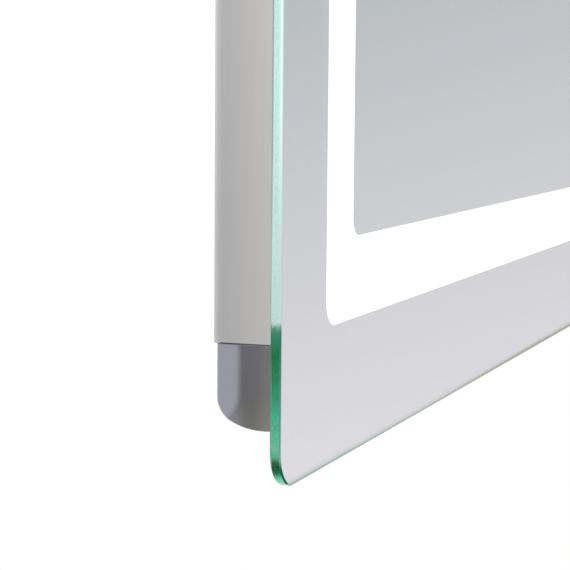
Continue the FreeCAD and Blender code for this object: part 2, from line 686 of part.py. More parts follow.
def on_board(x_range, z_range, height):
    """Block on the board's front, measured from the case's left end and middle."""
    left = DRIVER_X[0]
    return block((left + x_range[0], left + x_range[1]), (BOARD_FRONT - height, BOARD_FRONT),
                 (BOX_Z + z_range[0], BOX_Z + z_range[1]))


def driver_board():
    span = (BOX_Z - DRIVER_HALF_H, BOX_Z + DRIVER_HALF_H)
    board_x, board_z = shrunk(DRIVER_X, span, BOARD_IN)
    save("driver_board", [block(board_x, (BOARD_FRONT, BOARD_BACK), board_z)])
    winding = [on_board(x_range, (-half, half), height) for x_range, half, height in (COIL, BOBBIN)]
    parts = [winding[0].fuse(winding[1]), on_board(*CHIP)]
    for x, z in CANS:
        parts.append(rod((DRIVER_X[0] + x, BOARD_FRONT - CAN_H, BOX_Z + z), "y", CAN_R, CAN_H))
    first, pitch, count, width, z_range, height = SMALL_PARTS
    for i in range(count):
        x = first + pitch * i
        parts.append(on_board((x, x + width), z_range, height))
    save("driver_parts", parts)


def terminal_box():
    """Moulded pocket let into the tray from behind, with its cover and screws."""
    z_range = (BOX_Z - BOX_HALF_H, BOX_Z + BOX_HALF_H)
    x_range = (-BOX_HALF_W, BOX_HALF_W)
    flange_x, flange_z = shrunk(x_range, z_range, -BOX_FLANGE)
    room_x, room_z = shrunk(x_range, z_range, BOX_WALL)
    cover_x, cover_z = shrunk(flange_x, flange_z, COVER_INSET)
    flange = block(flange_x, (TRAY_REAR, BOX_FACE), flange_z)
    flange = flange.makeFillet(BOX_FLANGE_R, edges_along(flange, "y"))
    shell = block(x_range, (BOX_FRONT, BOX_FACE), z_range).fuse(flange)
    shell = shell.cut(block(room_x, (BOX_FLOOR, BOX_FACE + REACH_PAST), room_z))
    for x in CLAMP_SCREW_X:
        post = rod((x, BOX_FLOOR, CLAMP_Z), "y", CLAMP_POST_R, CLAMP_POST_H)
        pilot = rod((x, BOX_FLOOR, CLAMP_Z), "y", CLAMP_SCREW_R + HOLE_GAP, CLAMP_POST_H)
        shell = shell.fuse(post).cut(pilot)
    reach = BOX_WALL + 2 * REACH_PAST
    for side, radius in ((BOX_HALF_W, SUPPLY_LEAD_R), (-BOX_HALF_W + BOX_WALL, EARTH_LEAD_R)):
        start = (side - BOX_WALL - REACH_PAST, LEAD_DEPTH, BOX_Z)
        shell = shell.cut(rod(start, "x", radius + 2 * LEAD_GAP, reach))
    cover = block(cover_x, (BOX_FACE, BOX_FACE + COVER_T), cover_z)
    cover = cover.makeFillet(COVER_R, edges_along(cover, "y"))
    for x, z in BOX_SCREWS:
        hole = rod((x, TRAY_REAR - REACH_PAST, z), "y", BOX_SCREW_R + HOLE_GAP, BOX_WALL + COVER_T + 3)
        shell = shell.cut(hole)
        cover = cover.cut(hole)
    neck_hole = rod((GROMMET_X, BOX_FACE - REACH_PAST, BOX_Z), "y", GROMMET_NECK_R + LEAD_GAP,
                    COVER_T + 2 * REACH_PAST)
    save("terminal_box", [shell.removeSplitter()])
    save("terminal_box_cover", [cover.cut(neck_hole)])
    save("terminal_box_screws", [screw((x, BOX_FACE + COVER_T, z), -1, BOX_SCREW_HEAD, BOX_SCREW_R,
                                       BOX_SCREW_LENGTH) for x, z in BOX_SCREWS])


def cable_grommet():
    """Rubber grommet in the cover, with a flange on each side of it."""
    start = BOX_FACE - GROMMET_FLANGE_T
    cover_rear = BOX_FACE + COVER_T
    collar = rod((GROMMET_X, start, BOX_Z), "y", GROMMET_FLANGE_R, GROMMET_FLANGE_T)
    collar = collar.fuse(rod((GROMMET_X, BOX_FACE, BOX_Z), "y", GROMMET_NECK_R, COVER_T))
    collar = collar.fuse(rod((GROMMET_X, cover_rear, BOX_Z), "y", GROMMET_FLANGE_R, GROMMET_FLANGE_T))
    bore = rod((GROMMET_X, start, BOX_Z), "y", GROMMET_BORE_R, COVER_T + 2 * GROMMET_FLANGE_T)
    save("cable_grommet", [collar.cut(bore)])


def terminals():
    """Three-pole terminal block, and the bar that clamps the house's cable."""
    floor = BOX_FLOOR
    z_range = (BOX_Z - BLOCK_HALF_H, BOX_Z + BLOCK_HALF_H)
    screw_start = floor + TERMINAL_SCREW_UP
    slot_half, slot_depth = TERMINAL_SLOT
    slot_d = (screw_start + TERMINAL_SCREW_LENGTH - slot_depth, screw_start + TERMINAL_SCREW_LENGTH)
    body = block(BLOCK_X, (floor, floor + BLOCK_BASE_T), z_range)
    screws = []
    for i in range(POLES):
        x = BLOCK_X[0] + POLE_PITCH * (i + 0.5)
        pole = block((x - POLE_HALF_W, x + POLE_HALF_W), (floor + BLOCK_BASE_T, floor + POLE_TOP), z_range)
        wire_hole = rod((x, floor + WIRE_HOLE_UP, z_range[0] - REACH_PAST), "z", WIRE_HOLE_R,
                        2 * (BLOCK_HALF_H + REACH_PAST))
        body = body.fuse(pole).cut(wire_hole)
        for z in (BOX_Z - TERMINAL_SCREW_Z, BOX_Z + TERMINAL_SCREW_Z):
            body = body.cut(rod((x, floor + 2 * BLOCK_BASE_T, z), "y", TERMINAL_SCREW_R + 2 * HOLE_GAP,
                                POLE_TOP))
            one = rod((x, screw_start, z), "y", TERMINAL_SCREW_R, TERMINAL_SCREW_LENGTH)
            slot = block((x - 2 * TERMINAL_SCREW_R, x + 2 * TERMINAL_SCREW_R), slot_d,
                         (z - slot_half, z + slot_half))
            screws.append(one.cut(slot))
    save("terminal_block", [body])
    save("terminal_screws", screws)
    bar_front = floor + CLAMP_POST_H
    bar = block(CLAMP_X, (bar_front, bar_front + CLAMP_T), (CLAMP_Z - CLAMP_HALF_H, CLAMP_Z + CLAMP_HALF_H))
    fixings = []
    for x in CLAMP_SCREW_X:
        bar = bar.cut(rod((x, bar_front - REACH_PAST, CLAMP_Z), "y", CLAMP_SCREW_R + HOLE_GAP,
                          CLAMP_T + 2 * REACH_PAST))
        fixings.append(screw((x, bar_front + CLAMP_T, CLAMP_Z), -1, CLAMP_SCREW_HEAD, CLAMP_SCREW_R,
                             CLAMP_SCREW_LENGTH))
    save("cord_clamp", [bar])
    save("cord_clamp_screws", fixings)


def wiring():
    """The lead from the terminals to the driver, and the one from the driver to the LED tape."""
    start_x = BLOCK_X[1]
    supply = rod((start_x, LEAD_DEPTH, BOX_Z), "x", SUPPLY_LEAD_R, DRIVER_X[0] + 2 * DRIVER_WALL - start_x)
    save("supply_lead", [supply])
    on_tape = TRAY_BACK - LED_TAPE_T - LED_LEAD_R
    led_lead = [
        (DRIVER_X[1] - 2 * DRIVER_WALL, LEAD_DEPTH, BOX_Z),
        (LED_LEAD_TURN_X, LEAD_DEPTH, BOX_Z),
        (LED_LEAD_TURN_X, on_tape, BOX_Z),
        (BAND_MID_W - LED_LONG, on_tape, BOX_Z),
    ]
    save("led_lead", [tube_path(led_lead, LED_LEAD_BEND, LED_LEAD_R)])
    clips = []
    for x in CLIP_X:
        clip = block((x - CLIP_HALF_W, x + CLIP_HALF_W), (LEAD_DEPTH - CLIP_COVER, TRAY_BACK),
                     (BOX_Z - CLIP_HALF_H, BOX_Z + CLIP_HALF_H))
        hole = rod((x - CLIP_HALF_W - REACH_PAST, LEAD_DEPTH, BOX_Z), "x", LED_LEAD_R + HOLE_GAP,
                   2 * (CLIP_HALF_W + REACH_PAST))
        clips.append(clip.cut(hole))
    save("lead_clips", clips)


def earthing():
    """Earth stud on the tray, its nut and ring terminal, and the lead to the terminal block."""
    head_r, head_t = STUD_HEAD
    stud = rod((EARTH_X, TRAY_BACK - STUD_LENGTH, BOX_Z), "y", STUD_R, STUD_LENGTH)
    stud = stud.fuse(rod((EARTH_X, TRAY_BACK - head_t, BOX_Z), "y", head_r, head_t))
    save("earth_stud", [stud])
    nut_back = TRAY_BACK - NUT_UP
    corner_r = NUT_ACROSS / math.sqrt(3)
    corners = []
    for i in range(7):
        angle = math.radians(60 * i)
        corners.append(Vector(EARTH_X + corner_r * math.cos(angle), depth(nut_back - NUT_T),
                              BOX_Z + corner_r * math.sin(angle)))
    nut = Part.Face(Part.makePolygon(corners)).extrude(Vector(0, NUT_T, 0))
    hole = rod((EARTH_X, nut_back - NUT_T - REACH_PAST, BOX_Z), "y", STUD_R, NUT_T + 2 * REACH_PAST)
    save("earth_nut", [nut.cut(hole)])
    tag_length, tag_half = RING_TAG
    eye = rod((EARTH_X, nut_back, BOX_Z), "y", RING_R, RING_T)
    eye = eye.fuse(block((EARTH_X, EARTH_X + tag_length), (nut_back, nut_back + RING_T),
                         (BOX_Z - tag_half, BOX_Z + tag_half)))
    eye = eye.cut(rod((EARTH_X, nut_back - REACH_PAST, BOX_Z), "y", STUD_R + HOLE_GAP,
                      RING_T + 2 * REACH_PAST))
    save("earth_ring", [eye])
    on_tag = nut_back - EARTH_LEAD_R
    on_eye, off_eye, level = [EARTH_X + run for run in EARTH_LEAD_RUN]
    lead = [
        (on_eye, on_tag, BOX_Z),
        (off_eye, on_tag, BOX_Z),
        (level, LEAD_DEPTH, BOX_Z),
        (BLOCK_X[0], LEAD_DEPTH, BOX_Z),
    ]
    save("earth_lead", [tube_path(lead, EARTH_LEAD_BEND, EARTH_LEAD_R)])


def rail_bar(half, y_range, z_range):
    """Bar along X, centred, between two Y and two Z limits."""
    low = Vector(-half, y_range[0], z_range[0])
    return Part.makeBox(2 * half, y_range[1] - y_range[0], z_range[1] - z_range[0], low)


def hanger_rail():
    """The rail on the tray's back, with the lip that hooks down behind the wall rail's."""
    tray_rear = depth(TRAY_REAR)
    lip_rear = -WALL_RAIL_REACH + RAIL_T + HOOK_GAP_Y + RAIL_T
    web_low = WALL_RAIL_LIP_TOP + HOOK_GAP_Z
    web_high = web_low + RAIL_T
    hanger = rail_bar(HANGER_HALF, (tray_rear, tray_rear + RAIL_T), (web_low, HANGER_TOP))
    hanger = hanger.fuse(rail_bar(HANGER_HALF, (tray_rear, lip_rear), (web_low, web_high)))
    lip = rail_bar(HANGER_HALF, (lip_rear - RAIL_T, lip_rear), (HANGER_LIP_BOTTOM, web_high))
    hanger = hanger.fuse(lip)
    rivets = []
    for x in HANGER_RIVET_X:
        hole = rod((x, TRAY_REAR - REACH_PAST, HANGER_RIVET_Z), "y", HANGER_RIVET_R + HOLE_GAP,
                   RAIL_T + 2 * REACH_PAST)
        hanger = hanger.cut(hole)
        rivets.append(rivet(TRAY_BACK, TRAY_REAR + RAIL_T, x, HANGER_RIVET_Z, HANGER_RIVET_R,
                            HANGER_RIVET_HEAD))
    save("hanger_rail", [hanger.removeSplitter()])
    save("hanger_rivets", rivets)


def wall_rail():
    """The rail that is screwed to the wall: foot, ledge and upstanding lip."""
    ledge = (WALL_RAIL_FLANGE - RAIL_T, WALL_RAIL_FLANGE)
    rail = rail_bar(WALL_RAIL_HALF, (-RAIL_T, 0), (-WALL_RAIL_FLANGE, WALL_RAIL_FLANGE))
    rail = rail.fuse(rail_bar(WALL_RAIL_HALF, (-WALL_RAIL_REACH, 0), ledge))
    rail = rail.fuse(rail_bar(WALL_RAIL_HALF, (-WALL_RAIL_REACH, -WALL_RAIL_REACH + RAIL_T),
                              (ledge[0], WALL_RAIL_LIP_TOP)))
    for x in (-WALL_HOLE_X, WALL_HOLE_X):
        start = Vector(x, -RAIL_T - REACH_PAST, 0)
        rail = rail.cut(Part.makeCylinder(WALL_HOLE_R, RAIL_T + 2 * REACH_PAST, start, ALONG["y"]))
    save("wall_rail", [rail.removeSplitter()])


def wall_bumpers():
    """Pads on the channels' backs that stand against the wall."""
    pad = rod((CAP_SCREW_X, CHASSIS_D, CHANNEL_LOW + BUMPER_UP), "y", BUMPER_R, BUMPER_T)
    rims = [edge for edge in pad.Edges if edge.BoundBox.YMin > -BUMPER_RIM_R]
    save("wall_bumpers", four_corners(pad.makeFillet(BUMPER_RIM_R, rims)))


def main():
    os.makedirs("parts", exist_ok=True)
    glass_and_coating()
    bonding_tape()
    channels_and_caps()
    save("back_tray", [tray()])
    tray_rivets()
    light_walls()
    diffusers()
    led_strips()
    corner_links()
    driver_case()
    driver_board()
    terminal_box()
    cable_grommet()
    terminals()
    wiring()
    earthing()
    hanger_rail()
    wall_rail()
    wall_bumpers()


main()
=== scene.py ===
"""Looks of the lighted bathroom mirror: finishes for every piece, the floor, the light and the camera.

Metres, in the model's own frame: the wall is the plane Y = 0, +Z is up and the glass looks along -Y.
Colours are linear light, apart from those that srgb() turns into it.
"""
import json
import math

import bpy
from mathutils import Matrix, Vector

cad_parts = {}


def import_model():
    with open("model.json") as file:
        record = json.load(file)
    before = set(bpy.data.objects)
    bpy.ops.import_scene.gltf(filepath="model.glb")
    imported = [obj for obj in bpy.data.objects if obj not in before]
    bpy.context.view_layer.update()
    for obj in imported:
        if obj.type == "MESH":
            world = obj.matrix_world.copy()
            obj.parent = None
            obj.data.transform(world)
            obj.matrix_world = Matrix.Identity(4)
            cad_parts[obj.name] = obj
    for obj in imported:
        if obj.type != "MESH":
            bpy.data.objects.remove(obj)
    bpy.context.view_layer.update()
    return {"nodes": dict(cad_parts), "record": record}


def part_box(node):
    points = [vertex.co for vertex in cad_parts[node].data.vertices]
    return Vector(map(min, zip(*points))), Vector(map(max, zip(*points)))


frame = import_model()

# Camera: the photograph's place, turn in radians and focal length
CAMERA_AT = Vector((-1.16955, -0.31968, -0.30520))
CAMERA_YAW = 1.2269
CAMERA_PITCH = -0.1018
CAMERA_ROLL = -0.0080
CAMERA_LENS_MM = 120.45
CAMERA_CLIP = (0.05, 50.0)
SENSOR_MM = 36.0

# Places from the frame. A level is a distance up or down from the middle of the glass. What is nearer
# to a plane than ON_PLANE lies on it.
GLASS_LOW, GLASS_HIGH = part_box("mirror_glass")
BAND_LOW, BAND_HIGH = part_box("frosted_light_band")
CENTRE_LOW, CENTRE_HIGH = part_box("silver_coating_centre")
CHANNEL_LOW, CHANNEL_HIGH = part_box("side_channel_left")
GLASS_MIDDLE_Y = (GLASS_LOW.y + GLASS_HIGH.y) / 2
GLASS_MIDDLE_Z = (GLASS_LOW.z + GLASS_HIGH.z) / 2
GLASS_END = (GLASS_HIGH.z - GLASS_LOW.z) / 2
BAND_END = (BAND_HIGH.z - BAND_LOW.z) / 2
CHANNEL_END = (CHANNEL_HIGH.z - CHANNEL_LOW.z) / 2
BAND_OUTER_R = 0.013
BAND_INNER_R = 0.009
ARRIS_WIDTH = 0.0008
ON_PLANE = 0.0001

# The least that a normal leans along Y on the glass's faces and on its arrises, and along X on those
# of its sides
FACE_LEAN = 0.9
ARRIS_LEAN = 0.3
SIDE_LEAN = 0.3

# The glass and its silvering. The glass absorbs so much red, green and blue per metre, and the shader
# takes the largest of them as a share of its density.
GLASS_IOR = 1.52
GLASS_ABSORB = (7.3, 1.15, 2.2)
ABSORB_SHARE = 0.9
SILVER = (0.965, 0.975, 0.975, 1)

# The band's light: white on the short way through the front, where it shows less once it has been
# reflected, and tinted along the glass, where the uprights dim towards their ends
BAND_WHITE = (1.3, 1.3, 1.3, 1)
BAND_GLOW = (1.46, 1.25, 1.30, 1)
THROUGH_FRONT = 0.010
REFLECTED_DEPTH = 2.5
SECOND_IMAGE = 0.5
BAND_DIM = 0.17
BAND_DIM_SPAN = (0.15, 0.225)
UPRIGHT_SPAN = (0.25, 0.30)

# The rim from outside: its tint on the straight runs, and tints that paint light and shade on it
# lower down, on the round corners and in the shadow on each corner, and how far its normal leans
# along X where it runs straight
RIM_ROUGH = 0.2
RIM_SHINE = 0.1
RIM_TINT = (0.77, 0.69, 0.70, 1)
RIM_LOW_TINT = (0.90, 0.53, 0.57, 1)
RIM_LOW_SPAN = (GLASS_END - 0.034, GLASS_END - 0.024)
CORNER_TINT = (0.24, 0.52, 0.25, 1)
SHADOW_TINT = (0.0005, 0.48, 0.19, 1)
SHADOW_TINT_HILL = (GLASS_END - 0.0170, GLASS_END - 0.0130, GLASS_END - 0.0070, GLASS_END - 0.0035)
STRAIGHT_SIDE = (0.84, 0.96)
STRAIGHT_TOP = (0.20, 0.05)

# Painted light and shadow over the rim: two greens where the band ends, and the shadow on each corner
VEIL = (0.08, 0.36, 0.26, 1)
VEIL_SHARE = 0.38
VEIL_HILL = (BAND_END - 0.0088, BAND_END - 0.0061, BAND_END - 0.0061, BAND_END - 0.0048)
STRAY = (0.07, 0.46, 0.36, 1)
STRAY_SHARE = 0.25
STRAY_HILL = (BAND_END - 0.0070, BAND_END - 0.0040, BAND_END - 0.0035, BAND_END + 0.0050)
SHADOW = (0.004, 0.085, 0.036, 1)
SHADOW_SHARE = 0.7
SHADOW_HILL = (GLASS_END - 0.0145, GLASS_END - 0.0115, GLASS_END - 0.0080, GLASS_END - 0.0055)

# The rim from within: a painted glow that stands in for the light caught in the glass, less on the
# sides than along the top and bottom
EDGE_GLOW = (0.51, 1.21, 0.79, 1)
SIDE_DIM = 0.5
GLOW_GRAIN_SPREAD = (0.96, 1.04)

# Beside the band its light, painted in emitted colours, leaks out of the rim's shoulder and the front
# arris, which is the lip. Each look changes from above to below over its turn.
LIT_SPAN = (BAND_END - 0.001, BAND_END - 0.010)
LIT_CURVE = 4.0
LEAK_DEPTH = (GLASS_LOW.y + 0.0030, GLASS_LOW.y + 0.0016)
LEAK_SIDE = (0.90, 0.99)
SHOULDER_ABOVE = (0.64, 0.89, 0.82, 1)
SHOULDER_BELOW = (0.50, 0.69, 0.62, 1)
SHOULDER_TURN = (0.14, 0.225)
LIP_DEPTH = (GLASS_LOW.y + 0.0014, GLASS_LOW.y + 0.0010)
LIP_ABOVE = (0.78, 1.0, 0.94, 1)
LIP_BELOW = (0.57, 0.70, 0.67, 1)
LIP_TURN = (0.13, 0.20)
LIP_EDGE = (0.54, 0.63, 0.62, 1)
LIP_EDGE_Y = GLASS_LOW.y + 0.4 * ARRIS_WIDTH
REAR_ABOVE = (0.36, 0.52, 0.48, 1)
REAR_BELOW = (0.50, 0.71, 0.64, 1)
REAR_TURN = (0.15, 0.19)

# The arrises from outside, in emitted colours that paint their light and shade: past the band's end,
# the painted shadow on the corners, and a painted grey along the top and bottom
UNLIT_ABOVE = (0.05, 0.17, 0.11, 1)
UNLIT_BELOW = (0.17, 0.38, 0.27, 1)
UNLIT_REAR_ABOVE = (0.04, 0.20, 0.13, 1)
UNLIT_REAR_BELOW = (0.19, 0.44, 0.33, 1)
UNLIT_TURN = (BAND_END + 0.001, GLASS_END - 0.014)
UNLIT_LIP = (0.44, 0.65, 0.54, 1)
UNLIT_LIP_Y = GLASS_LOW.y + 0.12 * ARRIS_WIDTH
ARRIS_CORNER_SHADOW = (0.02, 0.10, 0.06, 1)
ARRIS_CORNER_SPAN = (GLASS_END - 0.014, GLASS_END - 0.010)
ARRIS_TOP_BOTTOM_PAINTED = (0.36, 0.46, 0.43, 1)

# The edges from within the glass, in emitted colours that paint their light and shade: the rear
# arrises are warmer away from the corners, and everything turns darker along X. A strip of the
# silvering beside the top and bottom edges is painted as warm and dark, as their shadow.
WITHIN_FRONT = (0.56, 0.63, 0.61, 1)
WITHIN_REAR = (0.31, 0.39, 0.37, 1)
WITHIN_WARM = (0.35, 0.36, 0.26, 1)
WITHIN_FAR = (0.22, 0.25, 0.11, 1)
WARM_HILL = (-0.25, -0.05, 0.33, 0.37)
FAR_SPAN = (-0.12, 0.14)
STRIP_SPAN = (-0.15, 0.15)
STRIP_WIDTH = (0.0011, 0.0023)

# The seam between the channels and the caps, in painted shadow: the caps' plugs are dark up to one
# level, and the channels from another one on, apart from their rear edges
PLUG_LEVEL = CHANNEL_END + 0.00035
CHANNEL_SHADOW_LEVEL = CHANNEL_END - 0.0004
CHANNEL_SHADOW_Y = -0.0053

# Where the painted light and shade on the channels and the caps change from one to the next, along Y
# and, for the round ends of the caps, by level
CHANNEL_REAR_HIGHLIGHT_Y = (-0.0055, -0.0030)
CHANNEL_GLASS_LIGHT_Y = (-0.009, -0.027)
CAP_REAR_Y = (-0.0046, -0.0036)
CAP_SLANT_END_Y = (-0.0120, -0.0165)
CAP_FLAT_Y = (-0.0165, -0.0250)
CAP_FLAT_PALE_Y = (-0.0225, -0.0285)
CAP_ROUND_PALE_Y = (-0.0190, -0.0280)
CAP_ROUND_SPAN = (0.245, 0.275)

# The range that most of a noise's values lie in
NOISE_RANGE = (0.3, 0.7)

# World: what mirrors and glass see, and the fill light
SHADE_LOW = (0.818, 0.737, 0.790, 1)
SHADE_HIGH = (0.546, 0.530, 0.555, 1)
SHADE_REAR = (0.36, 0.36, 0.37, 1)
SHADE_TURN = 0.3
SHADE_SPAN = (-0.10, 0.15)
SHADE_REAR_SPAN = (0.0, 0.25)
FILL_COLOUR = (1.0, 0.995, 0.98, 1)
FILL_STRENGTH = 0.22
WHITE = (1, 1, 1, 1)

# Floor
FLOOR_Z = -1.25
FLOOR_R = 2.4
FLOOR_SIDES = 96
FLOOR_WHITE = 0.9

# Lamps: those for the channels and caps stand on both sides, here with the right side's X
FLANK_X = 0.38
STRIP_X, STRIP_Y, STRIP_Z = 1.30, 0.55, 0.5
STRIP_TARGET_Z = -0.25
CAP_LAMP_X, CAP_LAMP_Y = 0.88, 1.0
BOTTOM_CAP_Z = -0.50
TOP_CAP_Z = 0.14
MIRROR_MIDDLE = (0.0, 0.0, -0.2)

# Light in the glass runs through many reflections between its faces
BOUNCES = 96
CLEAR_BOUNCES = 512


def linear(value):
    """One sRGB channel, 0 to 255, as linear light."""
    share = value / 255
    return share / 12.92 if share <= 0.04045 else ((share + 0.055) / 1.055) ** 2.4


def srgb(red, green, blue):
    """An opaque colour from sRGB channels, 0 to 255."""
    return (linear(red), linear(green), linear(blue), 1.0)


class Tree:
    """The node tree of a material or world, with short calls for the nodes that are used here."""

    def __init__(self, owner, output="ShaderNodeOutputMaterial"):
        owner.use_nodes = True
        self.owner = owner
        self.tree = owner.node_tree
        self.tree.nodes.clear()
        self.output = self.add(output)
        self.coordinates = self.add("ShaderNodeTexCoord").outputs
        self.place = self.coordinates["Object"]

    def add(self, kind, **settings):
        node = self.tree.nodes.new(kind)
        for key, value in settings.items():
            setattr(node, key, value)
        return node

    def link(self, value, socket):
        """Join a socket to a socket, or set a plain value on it."""
        if isinstance(value, bpy.types.NodeSocket):
            self.tree.links.new(value, socket)
        else:
            socket.default_value = value

    def fill(self, node, *values):
        """Give a node's first inputs their values."""
        for value, socket in zip(values, node.inputs):
            self.link(value, socket)
        return node.outputs[0]

    def math(self, operation, *values):
        return self.fill(self.add("ShaderNodeMath", operation=operation), *values)

    def times(self, first, second):
        return self.math("MULTIPLY", first, second)

    def above(self, value, limit):
        """1 above the limit, 0 below it."""
        return self.math("GREATER_THAN", value, limit)

    def under(self, value, limit):
        """1 under the limit, 0 above it."""
        return self.math("LESS_THAN", value, limit)

    def span(self, value, low, high, to_low=0.0, to_high=1.0):
        """From to_low to to_high while the value goes from low to high, and the same beyond."""
        return self.fill(self.add("ShaderNodeMapRange"), value, low, high, to_low, to_high)

    def hill(self, value, foot, top, brow, end):
        """Up from 0 at the foot to 1 at the top, and down from the brow to 0 at the end."""
        return self.math("MINIMUM", self.span(value, foot, top), self.span(value, end, brow))

    def spread(self, noise, low, high):
        """A noise's values spread from low to high."""
        return self.span(noise, *NOISE_RANGE, low, high)

    def axis(self, name, source=None):
        split = self.add("ShaderNodeSeparateXYZ")
        self.link(source or self.place, split.inputs[0])
        return split.outputs[name]

    def level(self):
        """How far up or down a place is from the middle of the glass."""
        return self.math("ABSOLUTE", self.math("SUBTRACT", self.axis("Z"), GLASS_MIDDLE_Z))

    def stretched(self, scale):
        node = self.add("ShaderNodeMapping")
        self.link(self.place, node.inputs["Vector"])
        self.link(scale, node.inputs["Scale"])
        return node.outputs[0]

    def noise(self, scale, detail=3.0, rough=0.55, stretch=None):
        node = self.add("ShaderNodeTexNoise")
        self.link(self.stretched(stretch) if stretch else self.place, node.inputs["Vector"])
        self.link(scale, node.inputs["Scale"])
        self.link(detail, node.inputs["Detail"])
        self.link(rough, node.inputs["Roughness"])
        return node.outputs["Fac"]

    def cells(self, scale, output="Color"):
        node = self.add("ShaderNodeTexVoronoi")
        self.link(self.place, node.inputs["Vector"])
        self.link(scale, node.inputs["Scale"])
        return node.outputs[output]

    def waves(self, axis, rate):
        """A sine along an axis, at so many radians per metre."""
        return self.math("SINE", self.times(self.axis(axis), rate))

    def blend(self, share, first, second):
        """Colour between two colours."""
        node = self.add("ShaderNodeMix", data_type="RGBA")
        self.link(share, node.inputs[0])
        self.link(first, node.inputs[6])
        self.link(second, node.inputs[7])
        return node.outputs[2]

    def bump(self, height, strength, distance):
        node = self.add("ShaderNodeBump")
        self.link(height, node.inputs["Height"])
        self.link(strength, node.inputs["Strength"])
        self.link(distance, node.inputs["Distance"])
        return node.outputs[0]

    def principled(self, colour, roughness, metallic=0.0, normal=None, **constants):
        node = self.add("ShaderNodeBsdfPrincipled")
        self.link(colour, node.inputs["Base Color"])
        self.link(roughness, node.inputs["Roughness"])
        self.link(metallic, node.inputs["Metallic"])
        if normal:
            self.link(normal, node.inputs["Normal"])
        for key, value in constants.items():
            self.link(value, node.inputs[key.replace("_", " ")])
        return node.outputs[0]

    def transparent(self):
        return self.add("ShaderNodeBsdfTransparent").outputs[0]

    def emission(self, colour, strength=1.0):
        return self.fill(self.add("ShaderNodeEmission"), colour, strength)

    def background(self, colour, strength=1.0):
        return self.fill(self.add("ShaderNodeBackground"), colour, strength)

    def mix(self, share, first, second):
        """Shader between two shaders."""
        return self.fill(self.add("ShaderNodeMixShader"), share, first, second)

    def surface(self, shader):
        self.link(shader, self.output.inputs["Surface"])
        return self.owner


def material_tree(name):
    return Tree(bpy.data.materials.new(name))


def rounded_inside(tree, low, high, radius):
    """1 inside a rounded rectangle in X and Z, 0 outside."""
    past = []
    for index, name in ((0, "X"), (2, "Z")):
        middle = (low[index] + high[index]) / 2
        straight = (high[index] - low[index]) / 2 - radius
        offset = tree.math("ABSOLUTE", tree.math("SUBTRACT", tree.axis(name), middle))
        past.append(tree.math("MAXIMUM", tree.math("SUBTRACT", offset, straight), 0.0))
    square = [tree.times(one, one) for one in past]
    away = tree.math("SQRT", tree.math("ADD", *square))
    return tree.under(away, radius)


def glass():
    """Float glass. Its back is silvered from outside, apart from the etched band, which glows, and
    seen from within, its rim glows with painted light that stands in for the light caught in the glass.
    From outside, its rim and arrises carry painted light and shade too."""
    tree = material_tree("float_glass")
    geometry = tree.add("ShaderNodeNewGeometry")
    inside = geometry.outputs["Backfacing"]
    lean = tree.math("ABSOLUTE", tree.axis("Y", geometry.outputs["True Normal"]))
    sideways = tree.math("ABSOLUTE", tree.axis("X", geometry.outputs["True Normal"]))
    on_rim = tree.under(lean, FACE_LEAN)
    on_arris = tree.times(on_rim, tree.above(lean, ARRIS_LEAN))
    on_back = tree.above(tree.axis("Y"), GLASS_HIGH.y - ON_PLANE)
    back = tree.times(tree.math("SUBTRACT", 1.0, on_rim), on_back)

    level = tree.level()
    beside_band = tree.math("POWER", tree.span(level, *LIT_SPAN), LIT_CURVE)
    lip = tree.blend(tree.span(level, *LIP_TURN), LIP_ABOVE, LIP_BELOW)
    rim = tree.mix(inside, rim_outside(tree, level, sideways, beside_band, lip), rim_within(tree, sideways))
    arris = tree.mix(inside, arris_outside(tree, level, sideways, beside_band, lip), arris_within(tree))
    clear = tree.principled(WHITE, 0.0, Transmission_Weight=1.0, IOR=GLASS_IOR)
    shader = tree.mix(on_rim, clear, tree.mix(on_arris, rim, arris))
    shader = tree.mix(back, shader, tree.mix(inside, tree.transparent(), back_within(tree, level)))

    absorb = tree.add("ShaderNodeVolumeAbsorption")
    density = max(GLASS_ABSORB) / ABSORB_SHARE
    tree.link((*[1 - one / density for one in GLASS_ABSORB], 1), absorb.inputs["Color"])
    tree.link(density, absorb.inputs["Density"])
    tree.link(absorb.outputs[0], tree.output.inputs["Volume"])
    return tree.surface(shader)


def back_within(tree, level):
    """The glass's back from within: the silvering, a painted shadow on the strip of it beside the top
    and bottom edges, and the etched band's light."""
    in_outer = rounded_inside(tree, BAND_LOW, BAND_HIGH, BAND_OUTER_R)
    in_centre = rounded_inside(tree, CENTRE_LOW, CENTRE_HIGH, BAND_INNER_R)
    band = tree.math("SUBTRACT", in_outer, in_centre)
    width = tree.span(tree.axis("X"), *STRIP_SPAN, *STRIP_WIDTH)
    in_strip = tree.above(tree.math("ADD", level, width), GLASS_END)
    strip = tree.times(in_strip, off_corners(tree))
    silvered = tree.mix(strip, silver(tree), tree.emission(far_end(tree, WITHIN_WARM)))
    return tree.mix(band, silvered, band_light(tree))


